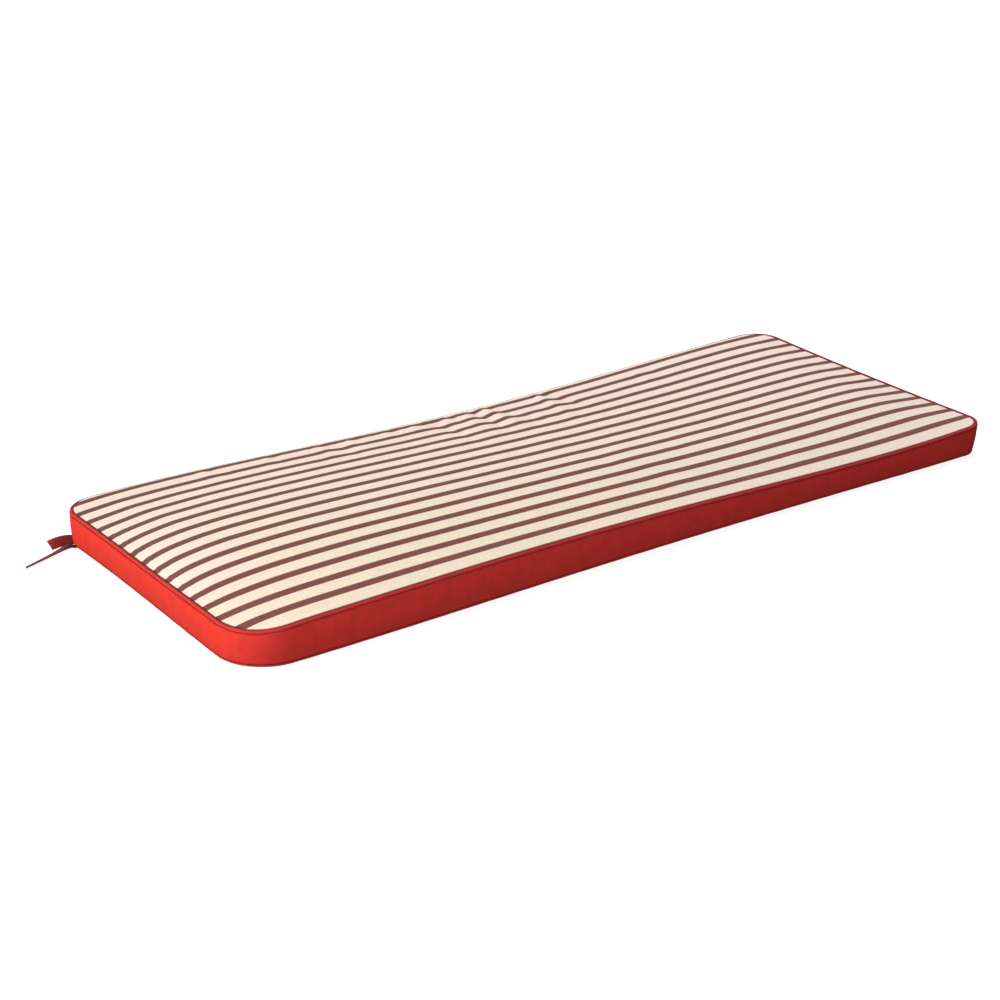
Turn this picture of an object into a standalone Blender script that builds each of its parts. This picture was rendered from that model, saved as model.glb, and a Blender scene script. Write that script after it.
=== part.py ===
"""A long box-edge cushion for a sun lounger or a garden bench, lying on its back.

A filled pad carries a red boxing band on its four sides. A crowned striped panel is sewn on top and
a flat panel underneath, with piping in both seams. Two ribbons, the free ends of one tie, leave the
bottom seam at the back left corner.

Metres, +Z up. The origin is on the floor under the middle of the cushion. +X runs along the
cushion, and the front long side faces -Y.
"""

from collections import namedtuple
import math

import bmesh
import bpy
from mathutils import Vector
import numpy as np

# Driving dimensions
LENGTH = 1.156
WIDTH = 0.462
SEAM_HEIGHT = 0.0465
CLOTH = 0.0015
GAP = 0.0003
PIPING_RADIUS = 0.0024
BAND_SWELL = 0.0020

# Corner radii of the seams, seen from above
FRONT_LEFT = 0.061
FRONT_RIGHT = 0.026
BACK_RIGHT = 0.038
BACK_LEFT = 0.042

# How far each short end is drawn in at its middle. The left end bulges, more so in front.
LEFT_IN = -0.0019
LEFT_SKEW = 0.002
RIGHT_IN = 0.0045

# Height of the back top seam above SEAM_HEIGHT, and of the left end's one at its middle
BACK_LIFT = -0.0008
LEFT_LIFT = 0.002

# How far the foot lies inside the top seam: at the left end's middle, with a skew, and at the right end
LEFT_FOOT_IN = 0.0041
LEFT_FOOT_SKEW = 0.0015
RIGHT_FOOT_IN = 0.006

# The crown falls to its seams as (1 - place ** FALL) ** ROUND, where place is 0 in the middle and 1
# at the seam. It is bolster-like at the left end.
SIDE_FALL = 2.2
LEFT_FALL = 4.7
LEFT_ROUND = 0.29
RIGHT_FALL = 11.3
RIGHT_ROUND = 0.94

# Height of the crown above its seams, before it falls to them. front, back: CROWN_OFF of the way
# from the middle to the long seams.
Crown = namedtuple("Crown", "along front middle back")
CROWN_OFF = 0.6
CROWNS = (
    Crown(-1.0, 0.0148, 0.0145, 0.0078),
    Crown(-0.5, 0.0160, 0.0141, 0.0109),
    Crown(0.0, 0.0141, 0.0115, 0.0094),
    Crown(0.5, 0.0160, 0.0101, 0.0077),
    Crown(1.0, 0.0144, 0.0087, 0.0073),
)

# along: -1 at the left end to 1 at the right end. front_in, back_in: how far that long side is
# drawn in there. front_lift: height of the front top seam above SEAM_HEIGHT.
Station = namedtuple("Station", "along front_in back_in front_lift")
STATIONS = (
    Station(-1.0, 0.000, 0.000, 0.0017),
    Station(-0.5, 0.001, 0.004, 0.0051),
    Station(0.0, 0.006, 0.0205, 0.0005),
    Station(0.5, 0.004, 0.012, -0.0079),
    Station(1.0, 0.000, 0.000, -0.0036),
)

# The top cord lies a little outside and below its seam line, and the bottom cord lies on the floor
TOP_CORD_OUT = 0.0010
TOP_CORD_DROP = 0.0021
BOTTOM_CORD_HEIGHT = PIPING_RADIUS + GAP

# How far the edges of the top panel, the pad's top and the pad's flat foot lie inside the seam
PANEL_IN = 0.0018
PAD_TOP_IN = 0.0021
PAD_FOOT_IN = 0.0034

# The pad is grooved for the cords. These are its points round each cord, in degrees.
FOOT_GROOVE = (190, 150, 110, 70)
HEAD_GROOVE = (-70, -110, -150, -175)
GROOVE_FACET = 25

# Soft ripples of the top cloth, most where the drawn-in back seam gathers it. x, y: middle.
# heading: direction of the crest in degrees from +X. long, wide: reach. rise: height, or depth.
Ripple = namedtuple("Ripple", "x y heading long wide rise")
RIPPLES = (
    Ripple(-0.221, 0.180, 70, 0.030, 0.011, 0.0012),
    Ripple(-0.197, 0.170, 88, 0.040, 0.011, -0.0011),
    Ripple(-0.044, 0.150, 90, 0.060, 0.013, -0.0018),
    Ripple(0.000, 0.155, 80, 0.050, 0.012, 0.0014),
    Ripple(0.021, 0.155, 85, 0.050, 0.010, -0.0014),
    Ripple(0.041, 0.150, 92, 0.055, 0.011, 0.0020),
    Ripple(0.128, 0.145, 82, 0.060, 0.012, 0.0021),
    Ripple(0.153, 0.150, 100, 0.050, 0.011, -0.0013),
    Ripple(0.048, -0.110, 95, 0.080, 0.015, -0.0011),
    Ripple(0.094, -0.120, 88, 0.075, 0.017, 0.0009),
)

# Ribbon routes, from the seam to the cut end. x, y, z: middle of the ribbon. wide: its width there.
# heading: where its far edge points in plan, in degrees from +X. lean: how far that edge is turned up.
Ribbon = namedtuple("Ribbon", "x y z wide heading lean")
RIBBON_THICKNESS = 0.0012
TIE_SHORT = (
    Ribbon(-0.5765, 0.2060, 0.0064, 0.012, 68, 55),
    Ribbon(-0.5840, 0.2085, 0.0070, 0.0135, 104, 48),
    Ribbon(-0.5955, 0.2084, 0.0071, 0.014, 116, 50),
    Ribbon(-0.6075, 0.2080, 0.0056, 0.014, 104, 40),
)
TIE_LONG = (
    Ribbon(-0.5789, 0.1965, 0.0014, 0.008, 80, 4),
    Ribbon(-0.5850, 0.1965, 0.0038, 0.010, 82, -4),
    Ribbon(-0.5935, 0.1945, 0.0046, 0.012, 75, -18),
    Ribbon(-0.6050, 0.1900, 0.0044, 0.013, 68, -32),
    Ribbon(-0.6270, 0.1815, 0.0043, 0.013, 68, -33),
    Ribbon(-0.6570, 0.1700, 0.0043, 0.013, 68, -33),
)

# Mesh density
ARC_STEPS = 4
LONG_STEPS = 48
SHORT_STEPS = 10
CORD_SIDES = 6
BAND_ROWS = 5
RIBBON_STEPS = 14
CROWDING = 0.05

# Exponents: how near an end its foot and its seam are shaped, and how near the edges the ripples die out
END_REACH = 8
RIPPLE_CALM = 16

SMOOTH_UNDER = math.radians(40)


def clear_scene():
    for obj in list(bpy.data.objects):
        bpy.data.objects.remove(obj)


def material(name, color, roughness):
    made = bpy.data.materials.new(name)
    made.use_nodes = True
    shader = made.node_tree.nodes["Principled BSDF"]
    shader.inputs["Base Color"].default_value = (*color, 1)
    shader.inputs["Roughness"].default_value = roughness
    shader.inputs["Metallic"].default_value = 0
    return made


def smooth_column(rows, column):
    """The smooth curve through one column of a table, as a function of along."""
    values = [getattr(row, column) for row in rows]
    return np.poly1d(np.polyfit([row.along for row in rows], values, len(rows) - 1))


FRONT_IN = smooth_column(STATIONS, "front_in")
BACK_IN = smooth_column(STATIONS, "back_in")
FRONT_RISE = smooth_column(STATIONS, "front_lift")
CROWN_FRONT = smooth_column(CROWNS, "front")
CROWN_MIDDLE = smooth_column(CROWNS, "middle")
CROWN_BACK = smooth_column(CROWNS, "back")


def drawn_in(x, y):
    """A point of the plain rounded rectangle, moved in by the cushion's waists."""
    along = np.clip(2 * x / LENGTH, -1, 1)
    across = 2 * y / WIDTH
    toward_front = max(-across, 0)
    toward_back = max(across, 0)
    y += toward_front * FRONT_IN(along) - toward_back * BACK_IN(along)
    middle = 1 - across**2
    left_in = LEFT_IN + LEFT_SKEW * across
    x += max(-along, 0) * left_in * middle - max(along, 0) * RIGHT_IN * middle
    return x, y


def seam_height(x, y):
    along = np.clip(2 * x / LENGTH, -1, 1)
    share = y / WIDTH + 0.5
    bulge = LEFT_LIFT * max(-along, 0) ** END_REACH * (1 - (2 * y / WIDTH) ** 2)
    return SEAM_HEIGHT + (1 - share) * FRONT_RISE(along) + share * BACK_LIFT + bulge


def arc_point(corner, degrees):
    sign_x, sign_y, radius = corner
    angle = math.radians(degrees)
    x = sign_x * (LENGTH / 2 - radius) + radius * math.cos(angle)
    y = sign_y * (WIDTH / 2 - radius) + radius * math.sin(angle)
    return x, y


def side(start, end, facing, steps):
    """Points from the middle of one corner's arc to the middle of the next one's."""
    first_arc = [arc_point(start, facing - 45 + 45 * i / ARC_STEPS) for i in range(ARC_STEPS + 1)]
    last_arc = [arc_point(end, facing + 45 * i / ARC_STEPS) for i in range(ARC_STEPS + 1)]
    a, b = np.array(first_arc[-1]), np.array(last_arc[0])
    shares = np.arange(1, steps) / steps
    closer_in_middle = shares + CROWDING * np.sin(2 * np.pi * shares)
    straight = [tuple(a + (b - a) * share) for share in closer_in_middle]
    return first_arc + straight + last_arc


def outline():
    """The four sides of the top seam, in plan, as arrays that share their end points."""
    front_left = (-1, -1, FRONT_LEFT)
    front_right = (1, -1, FRONT_RIGHT)
    back_right = (1, 1, BACK_RIGHT)
    back_left = (-1, 1, BACK_LEFT)
    sides = (
        side(front_left, front_right, 270, LONG_STEPS),
        side(front_right, back_right, 360, SHORT_STEPS),
        side(back_right, back_left, 90, LONG_STEPS),
        side(back_left, front_left, 180, SHORT_STEPS),
    )
    return [np.array([drawn_in(x, y) for x, y in points]) for points in sides]


def outward(loop):
    """Unit normals of a closed loop in plan, which runs anticlockwise."""
    along = np.roll(loop, -1, 0) - np.roll(loop, 1, 0)
    normal = np.stack([along[:, 1], -along[:, 0]], 1)
    return normal / np.linalg.norm(normal, axis=1)[:, None]


SIDES = outline()
SEAM = np.concatenate([points[:-1] for points in SIDES])
NORMAL = outward(SEAM)
SEAM_Z = np.array([seam_height(x, y) for x, y in SEAM])


def foot_shift(x, y):
    """How far toward -X the foot lies from the top seam, near the ends."""
    along, across = np.clip(2 * x / LENGTH, -1, 1), 2 * y / WIDTH
    left = (LEFT_FOOT_IN + LEFT_FOOT_SKEW * across) * (1 - across**2)
    shift = np.where(along < 0, -left, RIGHT_FOOT_IN)
    return shift * np.abs(along) ** END_REACH


def ring(out, share, height):
    """A loop beside the seam. share: 0 at the foot to 1 at the top seam."""
    plan = SEAM + NORMAL * out
    plan[:, 0] -= (1 - share) * foot_shift(*SEAM.T)
    return np.column_stack([plan, np.broadcast_to(height, len(plan))])


def ripples(x, y):
    """Height that the ripples add to the top cloth."""
    total = 0.0
    for ripple in RIPPLES:
        angle = math.radians(ripple.heading)
        dx, dy = x - ripple.x, y - ripple.y
        along = dx * math.cos(angle) + dy * math.sin(angle)
        across = dy * math.cos(angle) - dx * math.sin(angle)
        total = total + ripple.rise * np.exp(-((across / ripple.wide) ** 2) - (along / ripple.long) ** 2)
    return total


def crown(u, v):
    """Height of the top above its seams. u, v: -1 to 1 along and across."""
    place = np.abs(u)
    left = (1 - place**LEFT_FALL) ** LEFT_ROUND
    right = (1 - place**RIGHT_FALL) ** RIGHT_ROUND
    front, middle, back = CROWN_FRONT(u), CROWN_MIDDLE(u), CROWN_BACK(u)
    off = v / CROWN_OFF
    height = middle + (back - front) / 2 * off + ((back + front) / 2 - middle) * off**2
    return height * np.where(u < 0, left, right) * (1 - np.abs(v) ** SIDE_FALL)


def top_grid(inset):
    """Points of the crowned top, rows from front to back, with its edge inset from the seam."""
    loop = SEAM - NORMAL * inset
    heights = SEAM_Z[:, None]
    edge = np.concatenate([loop, heights], 1)
    long_count, short_count = len(SIDES[0]) - 1, len(SIDES[1]) - 1
    starts = np.cumsum([0, long_count, short_count, long_count])
    wrap = np.concatenate([edge, edge[:1]])
    front = wrap[starts[0] : starts[0] + long_count + 1]
    right = wrap[starts[1] : starts[1] + short_count + 1]
    back = wrap[starts[2] : starts[2] + long_count + 1][::-1]
    left = wrap[starts[3] : starts[3] + short_count + 1][::-1]
    s = share_along(front[:, 0] + back[:, 0])[None, :, None]
    t = share_along(left[:, 1] + right[:, 1])[:, None, None]
    points = (1 - t) * front[None] + t * back[None] + (1 - s) * left[:, None] + s * right[:, None]
    points = points - (1 - s) * (1 - t) * front[0] - s * (1 - t) * front[-1]
    points = points - (1 - s) * t * back[0] - s * t * back[-1]
    u, v = 2 * s[..., 0] - 1, 2 * t[..., 0] - 1
    points[..., 2] += crown(u, v)
    calm_edge = (1 - np.abs(u) ** RIPPLE_CALM) * (1 - np.abs(v) ** RIPPLE_CALM)
    points[..., 2] += calm_edge * ripples(points[..., 0], points[..., 1])
    return points


def share_along(values):
    return (values - values[0]) / (values[-1] - values[0])


def finished(bm, name, look):
    """Turns a closed bmesh into a smooth-shaded object."""
    bmesh.ops.recalc_face_normals(bm, faces=bm.faces[:])
    mesh = bpy.data.meshes.new(name)
    bm.to_mesh(mesh)
    bm.free()
    mesh.shade_smooth()
    mesh.set_sharp_from_angle(angle=SMOOTH_UNDER)
    mesh.materials.append(look)
    obj = bpy.data.objects.new(name, mesh)
    bpy.context.scene.collection.objects.link(obj)
    return obj


def add_grid(bm, points):
    """Quads over a grid of points. Returns the rows of vertices."""
    rows = [[bm.verts.new(point) for point in row] for row in points]
    for low, high in zip(rows, rows[1:]):
        for i in range(len(low) - 1):
            bm.faces.new((low[i], low[i + 1], high[i + 1], high[i]))
    return rows


def rim_of(rows):
    """The grid's boundary vertices, in the order of the seam."""
    right = [row[-1] for row in rows]
    left = [row[0] for row in rows]
    return rows[0][:-1] + right[:-1] + rows[-1][:0:-1] + left[:0:-1]


def add_walls(bm, loops):
    """Quads between closed loops of vertices that have equal counts."""
    for low, high in zip(loops, loops[1:]):
        for i in range(len(low)):
            following = (i + 1) % len(low)
            bm.faces.new((low[i], low[following], high[following], high[i]))


def thicken(bm, drop):
    """Makes an open sheet of cloth into a solid, thickened straight down."""
    extruded = bmesh.ops.extrude_face_region(bm, geom=bm.faces[:])
    moved = [item for item in extruded["geom"] if isinstance(item, bmesh.types.BMVert)]
    bmesh.ops.translate(bm, verts=moved, vec=(0, 0, -drop))


def cord_clearance(out, height, degrees):
    """A point of the pad beside a piping cord, clear of it, at that angle round the cord."""
    radius = (PIPING_RADIUS + GAP) / math.cos(math.radians(GROOVE_FACET))
    angle = math.radians(degrees)
    return out + radius * math.cos(angle), height + radius * math.sin(angle)


def cushion_pad(look):
    """The filled pad: flat underneath, the swollen boxing band, and the crown under the top panel."""
    bm = bmesh.new()
    floor = CLOTH + GAP
    loops = [ring(-PAD_FOOT_IN, 0, floor)]
    for degrees in FOOT_GROOVE:
        out, height = cord_clearance(0, BOTTOM_CORD_HEIGHT, degrees)
        loops.append(ring(out, 0, height))
    foot_out, foot_height = out, height
    head_out, head_drop = cord_clearance(TOP_CORD_OUT, -TOP_CORD_DROP, HEAD_GROOVE[0])
    for row in range(1, BAND_ROWS):
        share = row / BAND_ROWS
        height = foot_height + share * (SEAM_Z + head_drop - foot_height)
        swell = BAND_SWELL * math.sin(math.pi * share)
        loops.append(ring(foot_out + share * (head_out - foot_out) + swell, share, height))
    for degrees in HEAD_GROOVE:
        out, height = cord_clearance(TOP_CORD_OUT, -TOP_CORD_DROP, degrees)
        loops.append(ring(out, 1, SEAM_Z + height))
    walls = [[bm.verts.new(point) for point in loop] for loop in loops]
    bm.faces.new(walls[0])
    top = top_grid(PAD_TOP_IN)
    top[..., 2] -= CLOTH + GAP
    rows = add_grid(bm, top)
    walls.append(rim_of(rows))
    add_walls(bm, walls)
    return finished(bm, "cushion_pad", look)


def top_panel(look):
    bm = bmesh.new()
    add_grid(bm, top_grid(PANEL_IN))
    thicken(bm, CLOTH)
    return finished(bm, "top_panel", look)


def bottom_panel(look):
    """Flat cloth inside the bottom piping. The cushion rests on it."""
    bm = bmesh.new()
    edge = PIPING_RADIUS + GAP
    bm.faces.new([bm.verts.new(point) for point in ring(-edge, 0, CLOTH)])
    thicken(bm, CLOTH)
    return finished(bm, "bottom_panel", look)


def piping(name, loop, look):
    """A closed cord along a seam."""
    curve = bpy.data.curves.new(name, "CURVE")
    curve.dimensions = "3D"
    curve.bevel_depth = PIPING_RADIUS
    curve.bevel_resolution = CORD_SIDES // 2 - 2
    curve.twist_mode = "Z_UP"
    spline = curve.splines.new("POLY")
    spline.points.add(len(loop) - 1)
    for spot, point in zip(spline.points, loop):
        spot.co = (*point, 1)
    spline.use_cyclic_u = True
    curve.materials.append(look)
    obj = bpy.data.objects.new(name, curve)
    bpy.context.scene.collection.objects.link(obj)
    return obj


def smooth_route(stations):
    """Rows of a smooth curve through a ribbon's stations, with their widths and angles."""
    table = np.array(stations, float)
    padded = np.vstack([2 * table[0] - table[1], table, 2 * table[-1] - table[-2]])
    spans = len(table) - 1
    route = []
    for step in range(RIBBON_STEPS + 1):
        place = step / RIBBON_STEPS * spans
        k = min(int(place), spans - 1)
        t = place - k
        before, start, end, after = padded[k : k + 4]
        bend = 2 * before - 5 * start + 4 * end - after
        twist = 3 * start - before - 3 * end + after
        route.append(start + 0.5 * ((end - before) * t + bend * t**2 + twist * t**3))
    return np.array(route)


def ribbon(name, stations, look):
    """A flat sewn ribbon along its route, leaning over as it goes."""
    route = smooth_route(stations)
    bm = bmesh.new()
    sections = []
    for k, (x, y, z, width, heading, lean) in enumerate(route):
        before, after = route[max(k - 1, 0)], route[min(k + 1, len(route) - 1)]
        run = Vector(after[:3] - before[:3])
        heading, lean = math.radians(heading), math.radians(lean)
        level = Vector((math.cos(heading), math.sin(heading), 0))
        across = level * math.cos(lean) + Vector((0, 0, math.sin(lean)))
        half_wide = across * width / 2
        half_thick = run.cross(across).normalized() * RIBBON_THICKNESS / 2
        middle = Vector((x, y, z))
        corners = (
            middle - half_wide - half_thick,
            middle + half_wide - half_thick,
            middle + half_wide + half_thick,
            middle - half_wide + half_thick,
        )
        sections.append([bm.verts.new(corner) for corner in corners])
    add_walls(bm, sections)
    bm.faces.new(sections[0])
    bm.faces.new(sections[-1])
    return finished(bm, name, look)


def main():
    clear_scene()
    red = material("red_cloth", (0.62, 0.035, 0.026), 0.85)
    cream = material("striped_cloth", (0.86, 0.77, 0.66), 0.88)
    cord_red = material("piping_cloth", (0.45, 0.03, 0.028), 0.80)
    tie_red = material("ribbon_cloth", (0.40, 0.02, 0.018), 0.80)
    cushion_pad(red)
    top_panel(cream)
    bottom_panel(red)
    piping("piping_top", ring(TOP_CORD_OUT, 1, SEAM_Z - TOP_CORD_DROP), cord_red)
    piping("piping_bottom", ring(0, 0, BOTTOM_CORD_HEIGHT), cord_red)
    ribbon("tie_short", TIE_SHORT, tie_red)
    ribbon("tie_long", TIE_LONG, tie_red)


main()
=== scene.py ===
"""Looks of a long box-edge cushion for a sun lounger or a garden bench, lying on its back.

The cover is a crowned striped panel, a red boxing band and a plain red underside, with piping in both
seams, and the two free ends of a ribbon tie at the back left corner. The filled pad is swollen by a
cloth simulation inside its pinned seams.

Metres, +Z up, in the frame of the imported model. +X runs along the cushion, and the front long side
faces -Y.
"""

from collections import namedtuple
import math

import bmesh
import bpy
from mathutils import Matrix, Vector, noise
import numpy as np


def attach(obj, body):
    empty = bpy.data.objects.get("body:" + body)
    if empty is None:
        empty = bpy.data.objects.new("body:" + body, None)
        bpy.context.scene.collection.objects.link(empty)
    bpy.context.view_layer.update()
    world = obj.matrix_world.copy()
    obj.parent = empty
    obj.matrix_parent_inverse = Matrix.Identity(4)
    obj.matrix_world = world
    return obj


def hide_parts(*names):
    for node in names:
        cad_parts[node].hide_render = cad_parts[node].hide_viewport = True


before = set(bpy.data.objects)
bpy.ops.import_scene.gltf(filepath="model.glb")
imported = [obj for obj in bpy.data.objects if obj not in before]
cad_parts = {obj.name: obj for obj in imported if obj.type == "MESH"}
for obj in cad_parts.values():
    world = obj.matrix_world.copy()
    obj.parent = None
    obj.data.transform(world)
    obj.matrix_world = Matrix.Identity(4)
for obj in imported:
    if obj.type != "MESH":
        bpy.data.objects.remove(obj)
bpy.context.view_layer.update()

# Driving dimensions, as in the part's source
LENGTH = 1.156
WIDTH = 0.462
SEAM_HEIGHT = 0.0465
CLOTH = 0.0015
GAP = 0.0003
PIPING_RADIUS = 0.0024
BAND_SWELL = 0.0008

# Corner radii of the seams, seen from above
FRONT_LEFT = 0.061
FRONT_RIGHT = 0.026
BACK_RIGHT = 0.038
BACK_LEFT = 0.042

# How far each short end is drawn in at its middle. The left end bulges, more so in front.
LEFT_IN = -0.0019
LEFT_SKEW = 0.002
RIGHT_IN = 0.0045

# Height of the back top seam above SEAM_HEIGHT, and of the left end's one at its middle
BACK_LIFT = -0.0008
LEFT_LIFT = 0.002

# How far the foot lies inside the top seam: at the left end's middle, with a skew, and at the right end
LEFT_FOOT_IN = 0.0041
LEFT_FOOT_SKEW = 0.0015
RIGHT_FOOT_IN = 0.006
END_REACH = 8

# The top seam dips at the front left corner
CORNER_PLACE = (-0.558, -0.212)
CORNER_DIP = 0.0030
CORNER_REACH = 0.038

# The crown falls to its seams as (1 - place ** FALL) ** ROUND
SIDE_FALL = 2.2
LEFT_FALL = 8
LEFT_ROUND = 0.5
RIGHT_FALL = 11.3
RIGHT_ROUND = 0.94

# Height of the crown above its seams, before it falls to them
Crown = namedtuple("Crown", "along front middle back")
CROWN_OFF = 0.6
CROWNS = (
    Crown(-1.0, 0.0148, 0.0145, 0.0078),
    Crown(-0.5, 0.0160, 0.0141, 0.0109),
    Crown(0.0, 0.0141, 0.0115, 0.0094),
    Crown(0.5, 0.0160, 0.0101, 0.0077),
    Crown(1.0, 0.0144, 0.0087, 0.0073),
)

# along: -1 at the left end to 1 at the right end. front_in, back_in: how far that long side is
# drawn in there. stripe_in: how far the stripes lean in with the back side. front_lift: height of
# the front top seam above SEAM_HEIGHT.
Station = namedtuple("Station", "along front_in back_in stripe_in front_lift")
STATIONS = (
    Station(-1.0, 0.000, 0.000, 0.000, 0.0017),
    Station(-0.5, 0.001, 0.004, 0.001, 0.0051),
    Station(0.0, 0.006, 0.0205, 0.022, 0.0005),
    Station(0.5, 0.004, 0.012, 0.013, -0.0079),
    Station(1.0, 0.000, 0.000, 0.000, -0.0036),
)

# The top cord lies a little outside and below its seam line, lower along the back and higher at the
# right end. The bottom cord lies just above the floor.
TOP_CORD_OUT = 0.0010
TOP_CORD_DROP = 0.0021
RIGHT_CORD_RISE = 0.0010
BACK_CORD_FALL = 0.0012
BOTTOM_CORD_HEIGHT = PIPING_RADIUS + GAP

# The top panel's edge rolls over into its seam. side: how high the roll stands there.
LIP_WIDE = 0.0022
LIP_FADE = 0.004
LIP_STEPS = 4
LIP_FRONT = 0.0008
LIP_BACK = 0.0008
LIP_END = 0.0003

# How far the edges of the top panel, the pad's top and the pad's flat foot lie inside the seam
PANEL_IN = 0.0018
PAD_TOP_IN = 0.0021
PAD_FOOT_IN = 0.0034
UNDERSIDE_IN = PIPING_RADIUS + GAP

# The pad is grooved for the cords. These are its points round each cord, in degrees.
FOOT_GROOVE = (190, 150, 110, 70, 35, 15)
HEAD_GROOVE = (-28, -50, -70, -110, -150, -175)
GROOVE_FACET = 25

# Ripples of the top cloth. x, y: middle. heading: direction of the crest in degrees from +X.
# long, wide: reach. rise: height, or depth.
Ripple = namedtuple("Ripple", "x y heading long wide rise")
RIPPLES = (
    Ripple(-0.380, 0.200, 80, 0.035, 0.009, 0.0004),
    Ripple(-0.362, 0.200, 85, 0.032, 0.008, -0.0004),
    Ripple(-0.305, 0.195, 78, 0.035, 0.009, 0.0003),
    Ripple(-0.286, 0.195, 86, 0.030, 0.008, -0.0003),
    Ripple(-0.390, 0.218, 85, 0.016, 0.007, 0.0014),
    Ripple(-0.375, 0.218, 85, 0.016, 0.007, -0.0014),
    Ripple(-0.298, 0.213, 85, 0.016, 0.007, 0.0008),
    Ripple(-0.284, 0.213, 85, 0.016, 0.007, -0.0008),
    Ripple(-0.229, 0.207, 85, 0.016, 0.008, 0.0015),
    Ripple(-0.211, 0.207, 88, 0.016, 0.007, -0.0015),
    Ripple(-0.178, 0.200, 85, 0.020, 0.007, 0.0009),
    Ripple(-0.163, 0.200, 88, 0.020, 0.007, -0.0009),
    Ripple(-0.122, 0.195, 85, 0.016, 0.007, 0.0009),
    Ripple(-0.026, 0.193, 88, 0.014, 0.006, 0.0011),
    Ripple(-0.012, 0.193, 90, 0.014, 0.006, -0.0010),
    Ripple(0.021, 0.193, 85, 0.014, 0.006, -0.0010),
    Ripple(0.038, 0.191, 90, 0.014, 0.006, 0.0010),
    Ripple(0.050, 0.190, 90, 0.014, 0.006, -0.0008),
    Ripple(0.125, 0.191, 85, 0.014, 0.008, 0.0014),
    Ripple(0.141, 0.191, 85, 0.014, 0.007, -0.0015),
    Ripple(-0.220, 0.180, 70, 0.030, 0.008, 0.0013),
    Ripple(-0.197, 0.170, 88, 0.040, 0.009, -0.0011),
    Ripple(-0.108, 0.195, 85, 0.018, 0.008, -0.0010),
    Ripple(-0.078, 0.193, 88, 0.018, 0.008, 0.0012),
    Ripple(-0.060, 0.193, 92, 0.018, 0.006, -0.0013),
    Ripple(-0.044, 0.160, 90, 0.065, 0.010, -0.0019),
    Ripple(0.000, 0.165, 80, 0.060, 0.011, 0.0015),
    Ripple(0.021, 0.165, 85, 0.057, 0.007, -0.0018),
    Ripple(0.041, 0.158, 93, 0.060, 0.009, 0.0021),
    Ripple(0.070, 0.125, 110, 0.040, 0.008, -0.0007),
    Ripple(0.088, 0.130, 90, 0.030, 0.010, 0.0005),
    Ripple(0.128, 0.155, 82, 0.062, 0.010, 0.0020),
    Ripple(0.152, 0.160, 100, 0.052, 0.008, -0.0015),
    Ripple(0.302, 0.170, 85, 0.030, 0.009, 0.0007),
    Ripple(0.330, 0.185, 88, 0.025, 0.009, -0.0006),
    Ripple(0.046, -0.090, 92, 0.050, 0.014, -0.0009),
    Ripple(0.056, -0.170, 104, 0.035, 0.009, -0.0011),
    Ripple(0.093, -0.120, 88, 0.075, 0.016, 0.0009),
    Ripple(0.165, -0.120, 105, 0.050, 0.014, -0.0006),
    Ripple(0.215, -0.150, 90, 0.040, 0.010, -0.0006),
    Ripple(0.278, -0.180, 90, 0.030, 0.012, 0.0005),
    Ripple(-0.207, -0.170, 90, 0.050, 0.010, -0.0006),
    Ripple(-0.060, -0.100, 90, 0.040, 0.015, -0.0006),
)
RIPPLE_CALM = 30

# Small unevenness of the filling under the top cloth
UNEVEN_RISE = 0.0004
UNEVEN_SIZE = 0.055

# Ribbon routes, from the seam to the cut end. x, y, z: middle of the ribbon. wide: its width there.
# heading: where its far edge points in plan, in degrees from +X. lean: how far that edge is turned up.
Ribbon = namedtuple("Ribbon", "x y z wide heading lean")
RIBBON_THICKNESS = 0.0008
TIE_SHORT = (
    Ribbon(-0.5730, 0.2050, 0.0052, 0.011, 60, 55),
    Ribbon(-0.5765, 0.2060, 0.0064, 0.012, 68, 55),
    Ribbon(-0.5840, 0.2085, 0.0070, 0.0135, 104, 48),
    Ribbon(-0.5955, 0.2084, 0.0071, 0.014, 116, 50),
    Ribbon(-0.6075, 0.2080, 0.0056, 0.014, 104, 40),
)
TIE_LONG = (
    Ribbon(-0.5745, 0.1970, 0.0012, 0.008, 80, 4),
    Ribbon(-0.5789, 0.1965, 0.0014, 0.008, 80, 4),
    Ribbon(-0.5850, 0.1965, 0.0038, 0.010, 82, 6),
    Ribbon(-0.5935, 0.1945, 0.0042, 0.012, 75, 2),
    Ribbon(-0.6050, 0.1900, 0.0036, 0.013, 68, -6),
    Ribbon(-0.6270, 0.1815, 0.0032, 0.013, 68, -12),
    Ribbon(-0.6570, 0.1700, 0.0032, 0.013, 68, -16),
)

# Mesh density. Each count is even, so that every second point makes the simulated mesh.
ARC_STEPS = 8
LONG_STEPS = 272
SHORT_STEPS = 100
BAND_ROWS = 16
CORD_SIDES = 12
RIBBON_STEPS = 60
RIBBON_COLUMNS = 8

# Cloth simulation of the filled pad
PRESSURE = 4
FRAMES = 20
FARTHEST_MOVE = 0.0016
SETTLE = 0.0013
SETTLE_FADE = 0.03

# Stripes, as shares of the width from the front seam to the back seam
FIRST_STRIPE = 0.0619
STRIPE_PITCH = 0.0647
STRIPE_WIDTH = 0.0112

# How far a stripe's edge wanders, in metres, and how soft it is, as a share of the pitch. The pattern
# starts at BEFORE_FIRST, also a share of the pitch, so that no stripe comes before the first one.
STRIPE_WANDER = 0.0007
STRIPE_SOFT = 0.014
BEFORE_FIRST = -0.3

# How far the painted seam shade reaches down the band, as a share of its height, and how much less
# painted shade the top panel's edge has at the left end
SEAM_SHADE = 0.05
LEFT_EDGE_PALE = 0.45

# How far colours turn to the painted seam shade in the seams, or a ribbon's to its painted shade
BAND_SHADE = 0.25
CORD_SHADE = 0.85
RIBBON_SHADE = 0.85
EDGE_DARK = 0.8
SHORT_TIP_SHADE = 0.1
LONG_TIP_SHADE = 0.7
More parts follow.
